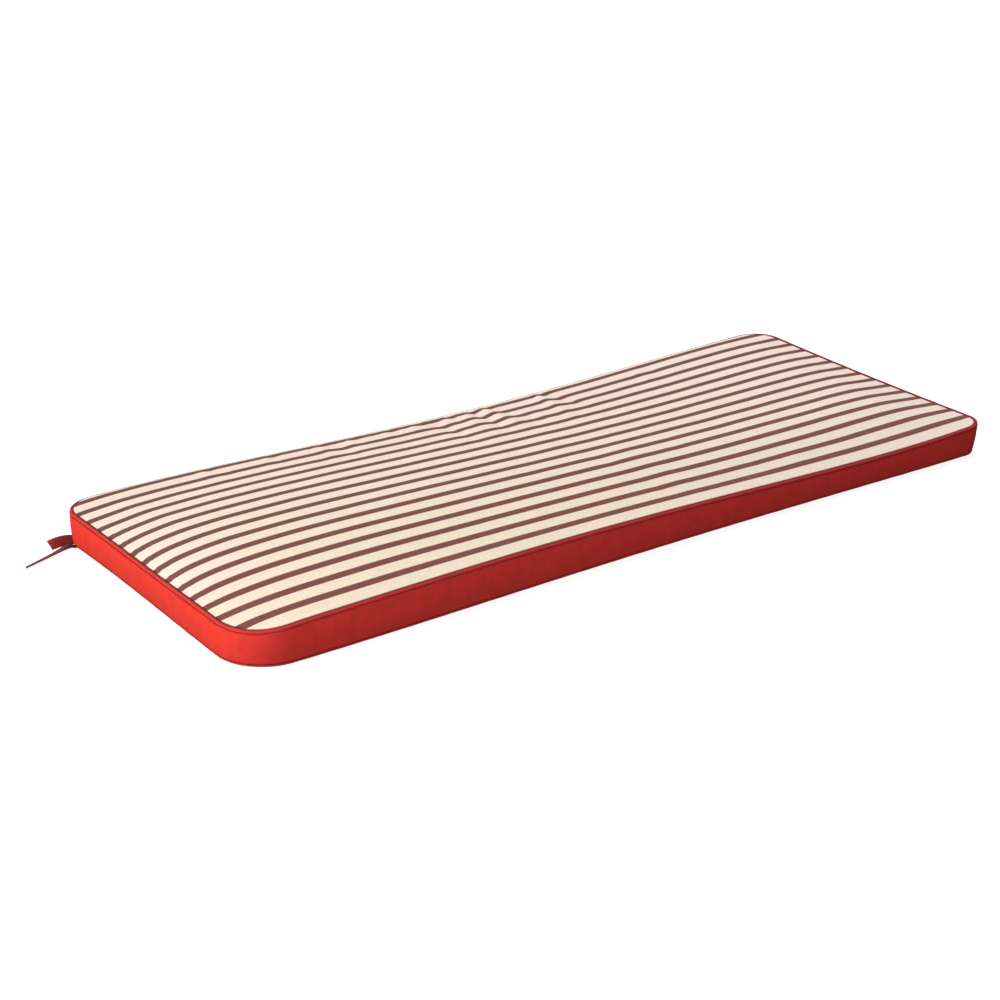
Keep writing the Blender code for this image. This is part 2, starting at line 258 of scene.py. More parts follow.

# How fast the painted shade fades over the top panel's edge, as a power
EDGE_ON_CREAM = 2.0
EDGE_ON_STRIPE = 0.8

# Piping: its cover is cut on the bias, slightly uneven, with painted shade where it dips into the seam
BIAS = math.sqrt(0.5)
CORD_UNEVEN = 0.03
CORD_WAVE = 0.007
TOP_DARK_SIDE = 110
BOTTOM_DARK_SIDE = 265

# Stitches
STITCH_EVERY = 0.0036
STITCH_LONG = 0.0026
STITCH_OUT = 0.0001
STITCH_DROP = 0.0006
STITCH_SIDES = 6
THREAD_RADIUS = 0.00025

# Places along one stitch, and the share of the thread's full thickness there
STITCH_SHAPE = ((0, 0.35), (0.3, 1), (0.7, 1), (1, 0.35))

RIBBON_CUP = 0.0006

# Weaves, and how all cloth takes the light
WEAVE_PITCH = 0.0009
RIB_PITCH = 0.0007
MOTTLE_SCALE = 330.0
SPECULAR = 0.06
SHEEN_ROUGHNESS = 0.6

# How far the cream turns pink at the back and cool at the right end, and the stripes look worn at the
# right end. SPECKLE: how much of the light thread shows in a stripe.
PINK_BACK = 0.6
COOL_RIGHT = 0.7
WORN_RIGHT = 0.28
SPECKLE = 0.09

# Colours, linear
CREAM_WARM = (0.78, 0.662, 0.483)
CREAM_PINK = (0.79, 0.605, 0.55)
CREAM_COOL = (0.79, 0.665, 0.60)
MAROON_FRONT = (0.175, 0.047, 0.038)
MAROON_BACK = (0.105, 0.043, 0.026)
MAROON_WORN = (0.21, 0.10, 0.085)
# The painted shade of seams, grooves and the top panel's edge
SEAM_SHADOW_COLOR = (0.11, 0.028, 0.034)
RED = (0.76, 0.043, 0.036)
# The piping is the band's red cloth; its darker red here is painted shade
CORD_RED = (0.62, 0.041, 0.040)
# Painted light: the colour of the sides that do not face the front is multiplied by this, a deeper red
SIDE_LIGHT_TINT = (1.0, 0.93, 0.64)
RIBBON_RED = (0.33, 0.026, 0.020)
# The painted shade a ribbon turns to
RIBBON_SHADOW_COLOR = (0.045, 0.009, 0.009)
THREAD_DARK = (0.42, 0.025, 0.020)
THREAD_LIGHT = (0.60, 0.035, 0.026)

# Studio
FLOOR_SIZE = 12
FLOOR_DROP = 0.0002
FLOOR_LIGHT = (0.36, 0.36, 0.36)
FLOOR_SHADE = (0.34, 0.34, 0.34)
FLOOR_GLOW = 0.85
WHITE = (1.0, 1.0, 1.0)
DOME_TURNS = 24
DOME_RISES = 8
SKY_COLOR = (1.0, 1.0, 1.0)
SKY_STRENGTH = 0.21
Lamp = namedtuple("Lamp", "name place aim size power color")
LAMPS = (
    Lamp("overhead_lamp", (1.3, 1.6, 4.2), (0, 0, 0.03), 2.5, 206, (1, 1, 1)),
    Lamp("left_lamp", (-2.8, 0.5, 0.6), (0, 0, 0.03), 1.0, 48, (1, 1, 1)),
    Lamp("near_lamp", (-1.6, -1.25, 0.7), (0, 0, 0.03), 0.8, 16.5, (1, 1, 1)),
)

# The photograph's view. No sensor shift.
CAMERA_PLACE = (-1.643, -2.218, 1.1685)
CAMERA_YAW = 35.3618
CAMERA_PITCH = 23.1377
CAMERA_LENS = 81.94


def smooth_column(rows, column):
    """The smooth curve through one column of a table, as a function of along."""
    values = [getattr(row, column) for row in rows]
    return np.poly1d(np.polyfit([row.along for row in rows], values, len(rows) - 1))


FRONT_IN = smooth_column(STATIONS, "front_in")
BACK_IN = smooth_column(STATIONS, "back_in")
STRIPE_IN = smooth_column(STATIONS, "stripe_in")
FRONT_RISE = smooth_column(STATIONS, "front_lift")
CROWN_FRONT = smooth_column(CROWNS, "front")
CROWN_MIDDLE = smooth_column(CROWNS, "middle")
CROWN_BACK = smooth_column(CROWNS, "back")


def drawn_in(x, y):
    """A point of the plain rounded rectangle, moved in by the cushion's waists."""
    along = np.clip(2 * x / LENGTH, -1, 1)
    across = 2 * y / WIDTH
    toward_front = max(-across, 0)
    toward_back = max(across, 0)
    y += toward_front * FRONT_IN(along) - toward_back * BACK_IN(along)
    middle = 1 - across**2
    left_in = LEFT_IN + LEFT_SKEW * across
    x += max(-along, 0) * left_in * middle - max(along, 0) * RIGHT_IN * middle
    return x, y


def seam_height(x, y):
    along = np.clip(2 * x / LENGTH, -1, 1)
    share = y / WIDTH + 0.5
    bulge = LEFT_LIFT * max(-along, 0) ** END_REACH * (1 - (2 * y / WIDTH) ** 2)
    return SEAM_HEIGHT + (1 - share) * FRONT_RISE(along) + share * BACK_LIFT + bulge


def arc_point(corner, degrees):
    sign_x, sign_y, radius = corner
    angle = math.radians(degrees)
    x = sign_x * (LENGTH / 2 - radius) + radius * math.cos(angle)
    y = sign_y * (WIDTH / 2 - radius) + radius * math.sin(angle)
    return x, y


def side(start, end, facing, steps):
    """Points from the middle of one corner's arc to the middle of the next one's."""
    first_arc = [arc_point(start, facing - 45 + 45 * i / ARC_STEPS) for i in range(ARC_STEPS + 1)]
    last_arc = [arc_point(end, facing + 45 * i / ARC_STEPS) for i in range(ARC_STEPS + 1)]
    a, b = np.array(first_arc[-1]), np.array(last_arc[0])
    straight = [tuple(a + (b - a) * i / steps) for i in range(1, steps)]
    return first_arc + straight + last_arc


def outline():
    """The four sides of the top seam, in plan, as arrays that share their end points."""
    front_left = (-1, -1, FRONT_LEFT)
    front_right = (1, -1, FRONT_RIGHT)
    back_right = (1, 1, BACK_RIGHT)
    back_left = (-1, 1, BACK_LEFT)
    sides = (
        side(front_left, front_right, 270, LONG_STEPS),
        side(front_right, back_right, 360, SHORT_STEPS),
        side(back_right, back_left, 90, LONG_STEPS),
        side(back_left, front_left, 180, SHORT_STEPS),
    )
    return [np.array([drawn_in(x, y) for x, y in points]) for points in sides]


def outward(loop):
    """Unit normals of a closed loop in plan, which runs anticlockwise."""
    along = np.roll(loop, -1, 0) - np.roll(loop, 1, 0)
    normal = np.stack([along[:, 1], -along[:, 0]], 1)
    return normal / np.linalg.norm(normal, axis=1)[:, None]


def lengths_round(loop):
    """Distance round a closed loop to each of its points, and back to the first one."""
    steps = np.linalg.norm(np.roll(loop, -1, 0) - loop, axis=1)
    return np.concatenate([[0], np.cumsum(steps)])


SIDES = outline()
SEAM = np.concatenate([points[:-1] for points in SIDES])
NORMAL = outward(SEAM)
SEAM_Z = np.array([seam_height(x, y) for x, y in SEAM])
SEAM_Z -= CORNER_DIP * np.exp(-((np.linalg.norm(SEAM - CORNER_PLACE, axis=1) / CORNER_REACH) ** 2))
CORD_DROP = TOP_CORD_DROP + BACK_CORD_FALL * np.clip(NORMAL[:, 1], 0, 1)
CORD_DROP -= RIGHT_CORD_RISE * np.clip(2 * SEAM[:, 0] / LENGTH, 0, 1) ** END_REACH
ROUND = lengths_round(SEAM)
FACING_FRONT = np.clip(-NORMAL[:, 1], 0, 1)
LEFT_END = np.clip(-NORMAL[:, 0], 0, 1)


def foot_shift(x, y):
    """How far toward -X the foot lies from the top seam, near the ends."""
    along, across = np.clip(2 * x / LENGTH, -1, 1), 2 * y / WIDTH
    left = (LEFT_FOOT_IN + LEFT_FOOT_SKEW * across) * (1 - across**2)
    shift = np.where(along < 0, -left, RIGHT_FOOT_IN)
    return shift * np.abs(along) ** END_REACH


def ring(out, share, height):
    """A loop beside the seam. share: 0 at the foot to 1 at the top seam."""
    plan = SEAM + NORMAL * np.reshape(out, (-1, 1))
    plan[:, 0] -= (1 - share) * foot_shift(*SEAM.T)
    return np.column_stack([plan, np.broadcast_to(height, len(plan))])


def ripples(x, y):
    """Height that the ripples add to the top cloth."""
    total = 0.0
    for ripple in RIPPLES:
        angle = math.radians(ripple.heading)
        dx, dy = x - ripple.x, y - ripple.y
        along = dx * math.cos(angle) + dy * math.sin(angle)
        across = dy * math.cos(angle) - dx * math.sin(angle)
        away = (across / ripple.wide) ** 2 + (along / ripple.long) ** 2
        total = total + ripple.rise * np.exp(-away)
    return total


def unevenness(x, y, layer):
    """Smooth noise of a set of points, from -1 to 1."""
    points = zip(np.ravel(x) / UNEVEN_SIZE, np.ravel(y) / UNEVEN_SIZE)
    values = [noise.noise(Vector((px, py, layer))) for px, py in points]
    return np.reshape(values, np.shape(x))


def crown(u, v):
    """Height of the top above its seams. u, v: -1 to 1 along and across."""
    place = np.abs(u)
    left = (1 - place**LEFT_FALL) ** LEFT_ROUND
    right = (1 - place**RIGHT_FALL) ** RIGHT_ROUND
    front, middle, back = CROWN_FRONT(u), CROWN_MIDDLE(u), CROWN_BACK(u)
    off = v / CROWN_OFF
    height = middle + (back - front) / 2 * off + ((back + front) / 2 - middle) * off**2
    return height * np.where(u < 0, left, right) * (1 - np.abs(v) ** SIDE_FALL)


def lip_height(x, y):
    """How high the top panel's rolled edge stands above the seam."""
    share = np.clip(y / WIDTH + 0.5, 0, 1)
    end = np.abs(np.clip(2 * x / LENGTH, -1, 1)) ** END_REACH
    return (LIP_FRONT + share * (LIP_BACK - LIP_FRONT)) * (1 - end) + LIP_END * end


def share_along(values):
    return (values - values[0]) / (values[-1] - values[0])


def top_grid(inset, swell):
    """Points of the crowned top, rows from front to back, with its edge inset from the seam."""
    edge = np.column_stack([SEAM - NORMAL * (inset + LIP_WIDE), SEAM_Z])
    long_count, short_count = len(SIDES[0]) - 1, len(SIDES[1]) - 1
    starts = np.cumsum([0, long_count, short_count, long_count])
    wrap = np.concatenate([edge, edge[:1]])
    front = wrap[starts[0] : starts[0] + long_count + 1]
    right = wrap[starts[1] : starts[1] + short_count + 1]
    back = wrap[starts[2] : starts[2] + long_count + 1][::-1]
    left = wrap[starts[3] : starts[3] + short_count + 1][::-1]
    s = share_along(front[:, 0] + back[:, 0])[None, :, None]
    t = share_along(left[:, 1] + right[:, 1])[:, None, None]
    points = (1 - t) * front[None] + t * back[None] + (1 - s) * left[:, None] + s * right[:, None]
    points = points - (1 - s) * (1 - t) * front[0] - s * (1 - t) * front[-1]
    points = points - (1 - s) * t * back[0] - s * t * back[-1]
    u, v = 2 * s[..., 0] - 1, 2 * t[..., 0] - 1
    x, y = points[..., 0], points[..., 1]
    calm_edge = (1 - np.abs(u) ** RIPPLE_CALM) * (1 - np.abs(v) ** RIPPLE_CALM)
    points[..., 2] += crown(u, v) + calm_edge * (ripples(x, y) + UNEVEN_RISE * unevenness(x, y, 0))
    points[..., 2] += (1 - away_from_rim(u, v, LIP_FADE)) * lip_height(x, y)
    return points + swell


def away_from_rim(u, v, fade):
    """0 at the seams, rising to 1 inside them. u, v: -1 to 1 along and across."""
    from_side, from_end = (1 - np.abs(v)) * WIDTH / 2, (1 - np.abs(u)) * LENGTH / 2
    return (1 - np.exp(-((from_side / fade) ** 2))) * (1 - np.exp(-((from_end / fade) ** 2)))


def lip_rings(inset):
    """The top panel's rolled edge: rings from its seam up to the grid's rim, without that rim."""
    rings = []
    for step in range(LIP_STEPS):
        angle = math.pi / 2 * step / LIP_STEPS
        plan = SEAM - NORMAL * (inset + LIP_WIDE * (1 - math.cos(angle)))
        rings.append(np.column_stack([plan, SEAM_Z + math.sin(angle) * lip_height(*SEAM.T)]))
    return rings


def band_rings(swell):
    """Rings of the boxing band, from its foot to its head."""
    foot_out, foot_height = cord_clearance(0, BOTTOM_CORD_HEIGHT, FOOT_GROOVE[-1])
    head_out, head_drop = cord_clearance(TOP_CORD_OUT, -CORD_DROP, HEAD_GROOVE[0])
    rings = []
    for row in range(BAND_ROWS + 1):
        share = row / BAND_ROWS
        height = foot_height + share * (SEAM_Z + head_drop - foot_height)
        out = foot_out + share * (head_out - foot_out) + BAND_SWELL * math.sin(math.pi * share)
        rings.append(ring(out, share, height))
    return np.array(rings) + swell


def cord_clearance(out, height, degrees):
    """A point of the pad beside a piping cord, clear of it, at that angle round the cord."""
    radius = (PIPING_RADIUS + GAP) / math.cos(math.radians(GROOVE_FACET))
    angle = math.radians(degrees)
    return out + radius * math.cos(angle), height + radius * math.sin(angle)


def add_grid(bm, points):
    """Quads over a grid of points. Returns the rows of vertices."""
    rows = [[bm.verts.new(point) for point in row] for row in points]
    for low, high in zip(rows, rows[1:]):
        for i in range(len(low) - 1):
            bm.faces.new((low[i], low[i + 1], high[i + 1], high[i]))
    return rows


def rim_of(rows):
    """The grid's boundary vertices, in the order of the seam."""
    right = [row[-1] for row in rows]
    left = [row[0] for row in rows]
    return rows[0][:-1] + right[:-1] + rows[-1][:0:-1] + left[:0:-1]


def add_walls(bm, loops):
    """Quads between closed loops of vertices that have equal counts."""
    for low, high in zip(loops, loops[1:]):
        for i in range(len(low)):
            following = (i + 1) % len(low)
            bm.faces.new((low[i], low[following], high[following], high[i]))


def finished(bm, name, look):
    """Turns a bmesh into a smooth-shaded object of the scene."""
    bmesh.ops.recalc_face_normals(bm, faces=bm.faces[:])
    mesh = bpy.data.meshes.new(name)
    bm.to_mesh(mesh)
    bm.free()
    mesh.shade_smooth()
    if look:
        mesh.materials.append(look)
    obj = bpy.data.objects.new(name, mesh)
    bpy.context.scene.collection.objects.link(obj)
    return obj


def map_cloth(mesh, place):
    """Lays the cloth's own coordinates, in metres, on each corner of the mesh's faces."""
    layer = mesh.uv_layers.new(name="cloth")
    spots = np.array([place[loop.vertex_index] for loop in mesh.loops])
    layer.data.foreach_set("uv", spots.ravel())


def swollen():
    """How far the filling moves the top and the band out: a cloth simulation inside the seams."""
    top = top_grid(PAD_TOP_IN, 0)[::2, ::2]
    band = band_rings(0)[::2, ::2]
    bm = bmesh.new()
    rings = [[bm.verts.new(point) for point in loop] for loop in band]
    bm.faces.new(rings[0])
    rows = add_grid(bm, top)
    rim = rim_of(rows)
    add_walls(bm, [*rings, rim])
    bm.verts.index_update()
    pinned = [vert.index for vert in rings[0] + rings[-1] + rim]
    pad = finished(bm, "simulated_pad", None)
    pad.vertex_groups.new(name="seams").add(pinned, 1, "REPLACE")
    cloth = pad.modifiers.new("cloth", "CLOTH")
    settings = cloth.settings
    settings.quality = 6
    settings.mass = 0.3
    settings.tension_stiffness = 30
    settings.compression_stiffness = 30
    settings.shear_stiffness = 10
    settings.bending_stiffness = 0.2
    settings.use_pressure = True
    settings.uniform_pressure_force = PRESSURE
    settings.vertex_group_mass = "seams"
    settings.effector_weights.gravity = 0
    cloth.collision_settings.use_collision = False
    cloth.point_cache.frame_end = FRAMES
    for frame_number in range(1, FRAMES + 1):
        bpy.context.scene.frame_set(frame_number)
    result = pad.evaluated_get(bpy.context.evaluated_depsgraph_get()).to_mesh()
    moved = np.empty(len(result.vertices) * 3)
    result.vertices.foreach_get("co", moved)
    moved = moved.reshape(-1, 3)
    band_count = band.shape[0] * band.shape[1]
    band_move = capped(moved[:band_count].reshape(band.shape) - band)
    top_move = capped(moved[band_count:].reshape(top.shape) - top)
    u, v = np.linspace(-1, 1, top.shape[1]), np.linspace(-1, 1, top.shape[0])[:, None]
    top_move[..., 2] -= SETTLE * away_from_rim(u, v, SETTLE_FADE)
    bpy.context.scene.frame_set(1)
    bpy.data.objects.remove(pad)
    return top_move, band_move


def capped(move):
    """Limits how far each point moves."""
    far = np.linalg.norm(move, axis=-1, keepdims=True)
    return move * np.minimum(1, FARTHEST_MOVE / np.maximum(far, 1e-9))


def finer(values, axis, closed=False):
    """Twice as many rows of values, with smooth ones between the given ones."""
    values = np.moveaxis(values, axis, 0)
    if closed:
        padded = np.concatenate([values[-1:], values, values[:2]])
    else:
        padded = np.concatenate([values[:1], values, values[-1:]])
    between = (9 * (padded[1:-2] + padded[2:-1]) - padded[:-3] - padded[3:]) / 16
    result = np.empty((len(values) + len(between), *values.shape[1:]))
    result[::2] = values
    result[1::2] = between
    return np.moveaxis(result, 0, axis)


def cloth_layer(bm):
    """The cloth's own coordinates, in metres, on the corners of faces."""
    return bm.loops.layers.uv.get("cloth") or bm.loops.layers.uv.new("cloth")


def spread(face, layer, corners):
    """Lays a face out on the cloth."""
    for corner, place in zip(face.loops, corners):
        corner[layer].uv = place


def add_bands(bm, loops, across, bias=False):
    """Quads between closed loops round the cushion. across: the cloth's own distance at each loop."""
    layer = cloth_layer(bm)
    count = len(loops[0])
    for k in range(len(loops) - 1):
        for i in range(count):
            following = (i + 1) % count
            low, high = loops[k], loops[k + 1]
            face = bm.faces.new((low[i], low[following], high[following], high[i]))
            near, far = ROUND[i], ROUND[i + 1]
            below, above = across[k], across[k + 1]
            corners = [(near, below), (far, below), (far, above), (near, above)]
            if bias:
                corners = [((a + b) * BIAS, (a - b) * BIAS) for a, b in corners]
            spread(face, layer, corners)


def weigh(obj, name, values):
    """Stores one number at each vertex, for the material."""
    attribute = obj.data.attributes.new(name, "FLOAT", "POINT")
    attribute.data.foreach_set("value", np.ascontiguousarray(values, np.float32))


def filled_pad(look, top_move, band_move):
    """The filled pad: flat underneath, the swollen boxing band, and the crown under the striped top."""
    bm = bmesh.new()
    floor_height = CLOTH + GAP
    foot = [ring(-PAD_FOOT_IN, 0, floor_height)]
    for degrees in FOOT_GROOVE[:-1]:
        out, height = cord_clearance(0, BOTTOM_CORD_HEIGHT, degrees)
        foot.append(ring(out, 0, height))
    head = []
    for degrees in HEAD_GROOVE[1:]:
        out, height = cord_clearance(TOP_CORD_OUT, -CORD_DROP, degrees)
        head.append(ring(out, 1, SEAM_Z + height))
    band = band_rings(band_move)
    lip = [loop - (0, 0, CLOTH + GAP) for loop in lip_rings(PAD_TOP_IN)]
    rings = [*foot, *band, *head, *lip]
    top = top_grid(PAD_TOP_IN, top_move)
    top[..., 2] -= CLOTH + GAP
    walls = [[bm.verts.new(point) for point in loop] for loop in rings]
    bm.faces.new(walls[0])
    walls.append(rim_of(add_grid(bm, top)))
    gaps = [np.linalg.norm(high - low, axis=1).mean() for low, high in zip(rings, rings[1:])]
    across = np.cumsum([0, *gaps, GAP])
    add_bands(bm, walls, across)
    pad = finished(bm, "filled_pad", look)
    # Painted shade: full on the grooves round both cords and on the lip, fading down the band from its
    # top seam
    place = np.linspace(0, 1, len(band))
    tucked = np.exp(-(1 - place) / SEAM_SHADE)
    shade = np.concatenate([np.ones(len(foot)), tucked, np.ones(len(head) + len(lip))])
    # Painted shade: the band darker toward its foot
    low = np.concatenate([np.ones(len(foot)), 1 - place, np.zeros(len(head) + len(lip))])
    for name, values in (
        ("seam", np.repeat(shade, len(SEAM))),
        ("low", np.repeat(low, len(SEAM))),
        ("front", np.tile(FACING_FRONT, len(rings))),
    ):
        weigh(pad, name, np.concatenate([values, np.zeros(top[..., 0].size)]))
    return pad


def striped_top(look, top_move):
    """The top panel, a closed thin skin on the pad, with its edge turned down into the seam."""
    bm = bmesh.new()
    outer = top_grid(PANEL_IN, top_move)
    inner = outer - (0, 0, CLOTH)
    edge = lip_rings(PANEL_IN)
    outer_rows = add_grid(bm, outer)
    inner_rows = add_grid(bm, inner[::-1])[::-1]
    edge_loops = [[bm.verts.new(point) for point in loop] for loop in edge]
    add_walls(bm, [rim_of(inner_rows), *edge_loops, rim_of(outer_rows)])
    top = finished(bm, "striped_top", look)
    points = np.concatenate([outer.reshape(-1, 3), inner[::-1].reshape(-1, 3), *edge])
    x, y = points[:, 0], points[:, 1]
    along = np.clip(2 * x / LENGTH, -1, 1)
    front, back = FRONT_IN(along) - WIDTH / 2, WIDTH / 2 - STRIPE_IN(along)
    map_cloth(top.data, np.column_stack([x, (y - front) / (back - front) * WIDTH]))
    # Painted shade along the rolled edge, full at the seam and less at the left end
    shade = [(1 - step / LIP_STEPS) * (1 - LEFT_EDGE_PALE * LEFT_END) for step in range(LIP_STEPS)]
    weigh(top, "seam", np.concatenate([np.zeros(2 * outer[..., 0].size), *shade]))
    return top


def plain_underside(look):
    """The flat bottom panel, a closed thin skin that the cushion rests on."""
    bm = bmesh.new()
    low = [bm.verts.new(point) for point in ring(-UNDERSIDE_IN, 0, 0)]
    high = [bm.verts.new(point) for point in ring(-UNDERSIDE_IN, 0, CLOTH)]
    bm.faces.new(low)
    bm.faces.new(high)
    add_bands(bm, [low, high], [0, CLOTH])
    panel = finished(bm, "plain_underside", look)
    places = [vertex.co.xy for vertex in panel.data.vertices]
    flat = panel.data.uv_layers["cloth"].data
    for corner, loop in zip(flat, panel.data.loops):
        corner.uv = places[loop.vertex_index]
    return panel


def piping(name, out, height, share, dark_side, look):
    """A cord in its bias-cut cover along a seam. dark_side: where its painted shade faces, in degrees.
    """
    bm = bmesh.new()
    angles = np.linspace(0, 2 * np.pi, CORD_SIDES + 1)
    loops = []
    for k in range(CORD_SIDES):
        radius = PIPING_RADIUS * (1 + CORD_UNEVEN * np.sin(ROUND[:-1] / CORD_WAVE + k))
        loop = ring(out + radius * math.cos(angles[k]), share, height + radius * math.sin(angles[k]))
        loops.append([bm.verts.new(point) for point in loop])
    loops.append(loops[0])
    add_bands(bm, loops, angles * PIPING_RADIUS, bias=True)
    cord = finished(bm, name, look)
    # Painted shade on the side facing dark_side, and all round the top cord near the right end, away
    # from the front
    shaded = np.maximum(0, np.cos(angles[:-1] - math.radians(dark_side))) ** 2
    right_end = np.clip(2 * SEAM[:, 0] / LENGTH, 0, 1) ** END_REACH * np.clip(1 + NORMAL[:, 1], 0, 1)
    shaded = shaded[:, None]
    weigh(cord, "seam", (shaded + share * right_end * (1 - shaded)).ravel())
    weigh(cord, "front", np.tile(FACING_FRONT, CORD_SIDES))
    return cord


def stitching(look):
    """The row of stitches that holds the top piping to the band."""
    bm = bmesh.new()
    out, drop = cord_clearance(TOP_CORD_OUT, -CORD_DROP, HEAD_GROOVE[0])
    line = ring(out + STITCH_OUT, 1, SEAM_Z + drop - STITCH_DROP)
    line = np.concatenate([line, line[:1]])
    count = int(ROUND[-1] / STITCH_EVERY)
    for i in range(count):
        start = i * ROUND[-1] / count
        first, last = (
            Vector([np.interp(place, ROUND, line[:, axis]) for axis in range(3)])
            for place in (start, start + STITCH_LONG)
        )
        run = (last - first).normalized()
        side_way = run.cross(Vector((0, 0, 1))).normalized()
        sections = []
        for share, size in STITCH_SHAPE:
            middle = first.lerp(last, share)
            section = []
            for k in range(STITCH_SIDES):
                angle = 2 * math.pi * k / STITCH_SIDES
                offset = side_way * math.cos(angle) + Vector((0, 0, math.sin(angle)))
                section.append(bm.verts.new(middle + offset * size * THREAD_RADIUS))
            sections.append(section)
        for low, high in zip(sections, sections[1:]):
            for k in range(STITCH_SIDES):
                following = (k + 1) % STITCH_SIDES
                bm.faces.new((low[k], low[following], high[following], high[k]))
        bm.faces.new(sections[0])
        bm.faces.new(sections[-1])
    return finished(bm, "band_stitches", look)


def smooth_route(stations):
    """Rows of a smooth curve through a ribbon's stations, with their widths and angles."""
    table = np.array(stations, float)
    padded = np.vstack([2 * table[0] - table[1], table, 2 * table[-1] - table[-2]])
    spans = len(table) - 1
    route = []
    for step in range(RIBBON_STEPS + 1):
        place = step / RIBBON_STEPS * spans
        k = min(int(place), spans - 1)
        t = place - k
        before, start, end, after = padded[k : k + 4]
        bend = 2 * before - 5 * start + 4 * end - after
        twist = 3 * start - before - 3 * end + after
        route.append(start + 0.5 * ((end - before) * t + bend * t**2 + twist * t**3))
    return np.array(route)


def ribbon(name, stations, tip_shade, look):
    """A woven ribbon along its route, a little cupped across. Its painted shade runs from 1 at the seam
    to tip_shade.
    """
    route = smooth_route(stations)
    bm = bmesh.new()
    layer = cloth_layer(bm)
    offsets = np.linspace(-0.5, 0.5, RIBBON_COLUMNS + 1)
    sections, places = [], []
    run_length = 0.0
    for k, (x, y, z, width, heading, lean) in enumerate(route):
        before, after = route[max(k - 1, 0)], route[min(k + 1, len(route) - 1)]
        run = Vector(after[:3] - before[:3])
        heading, lean = math.radians(heading), math.radians(lean)
        level = Vector((math.cos(heading), math.sin(heading), 0))
        across = level * math.cos(lean) + Vector((0, 0, math.sin(lean)))
        outward_way = run.cross(across).normalized()
        middle = Vector((x, y, z))
        section, place = [], []
        for sign, order in ((1, offsets), (-1, offsets[::-1])):
            for offset in order:
                cup = RIBBON_CUP * (4 * offset**2 - 0.5)
                lift = outward_way * (sign * RIBBON_THICKNESS / 2 + cup)
                section.append(bm.verts.new(middle + across * width * offset + lift))
                place.append((run_length, offset * width))
        sections.append(section)
        places.append(place)
        run_length += (Vector(route[min(k + 1, len(route) - 1)][:3]) - middle).length
    count = len(sections[0])
    for k in range(len(sections) - 1):
        for i in range(count):
            j = (i + 1) % count
            corners = ((k, i), (k, j), (k + 1, j), (k + 1, i))
            face = bm.faces.new([sections[row][column] for row, column in corners])
            spread(face, layer, [places[row][column] for row, column in corners])
    bm.faces.new(sections[0])
    bm.faces.new(sections[-1])
    tape = finished(bm, name, look)
    # Painted shade, from full at the seam to tip_shade at the cut end
    weigh(tape, "seam", np.repeat(np.linspace(1, tip_shade, len(route)), count))
    return tape


